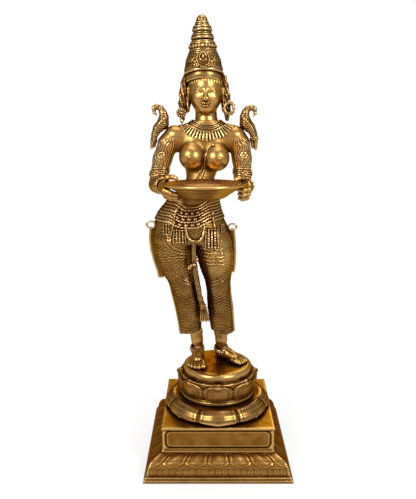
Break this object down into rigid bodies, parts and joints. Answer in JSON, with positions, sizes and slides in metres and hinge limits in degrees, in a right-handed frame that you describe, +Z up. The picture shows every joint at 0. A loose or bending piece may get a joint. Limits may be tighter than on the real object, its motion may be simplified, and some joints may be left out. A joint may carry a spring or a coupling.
{
  "type": "standing lamp-lady statue with offering dish",
  "caption": "Cast brass lady with a tall crown, holding a shallow lamp dish with both hands, on a lotus pedestal and a square stepped plinth.",
  "frame": {"origin": "centre of the square plinth's underside, on the floor", "axes": "+Z up along the figure, -Y is where the figure looks and holds the dish, +X is the figure's left"},
  "size_m": [0.5025, 0.562, 1.5149],
  "materials": {
    "cast_brass": "aged golden brown with darker recesses and polished high spots",
    "inner_steel": "plain steel fasteners, out of sight"
  },
  "bodies": {
    "statue": {"base_block": "cast_brass", "centre_pleat": "cast_brass", "clamp_bar": "inner_steel", "collar_bands": "cast_brass", "collar_fringe": "cast_brass", "crown_bead_ring": "cast_brass", "crown_bell": "cast_brass", "crown_finial": "cast_brass", "crown_medallion": "cast_brass", "foot_stud_nuts": "inner_steel", "foot_stud_washers": "inner_steel", "foot_studs": "inner_steel", "girdle_bands": "cast_brass", "head": "cast_brass", "headband": "cast_brass", "hip_wrap": "cast_brass", "left_anklets": "cast_brass", "left_armlet": "cast_brass", "left_bangles": "cast_brass", "left_earring": "cast_brass", "left_foot": "cast_brass", "left_forearm": "cast_brass", "left_hair_tassel": "cast_brass", "left_hand": "cast_brass", "left_parrot": "cast_brass", "left_sash_ring": "cast_brass", "left_side_pleats": "cast_brass", "left_side_sash": "cast_brass", "left_skirt_leg": "cast_brass", "left_tassels": "cast_brass", "left_upper_arm": "cast_brass", "lotus_neck_ring": "cast_brass", "lower_lotus": "cast_brass", "pedestal_disc": "cast_brass", "plinth": "cast_brass", "right_anklets": "cast_brass", "right_armlet": "cast_brass", "right_bangles": "cast_brass", "right_earring": "cast_brass", "right_foot": "cast_brass", "right_forearm": "cast_brass", "right_hair_tassel": "cast_brass", "right_hand": "cast_brass", "right_parrot": "cast_brass", "right_sash_ring": "cast_brass", "right_side_pleats": "cast_brass", "right_side_sash": "cast_brass", "right_skirt_leg": "cast_brass", "right_tassels": "cast_brass", "right_upper_arm": "cast_brass", "sacred_thread": "cast_brass", "tie_rod": "inner_steel", "tie_rod_nut": "inner_steel", "tie_rod_washer": "inner_steel", "torso": "cast_brass", "u_loop_sash": "cast_brass", "upper_lotus": "cast_brass", "waist": "cast_brass"},
    "dish": {"lamp_dish": "cast_brass"}
  },
  "joints": [
    {"name": "dish_slide", "type": "slide", "parent": "statue", "child": "dish", "axis": [0, -1, 0], "range_m": [0, 0.15]}
  ]
}
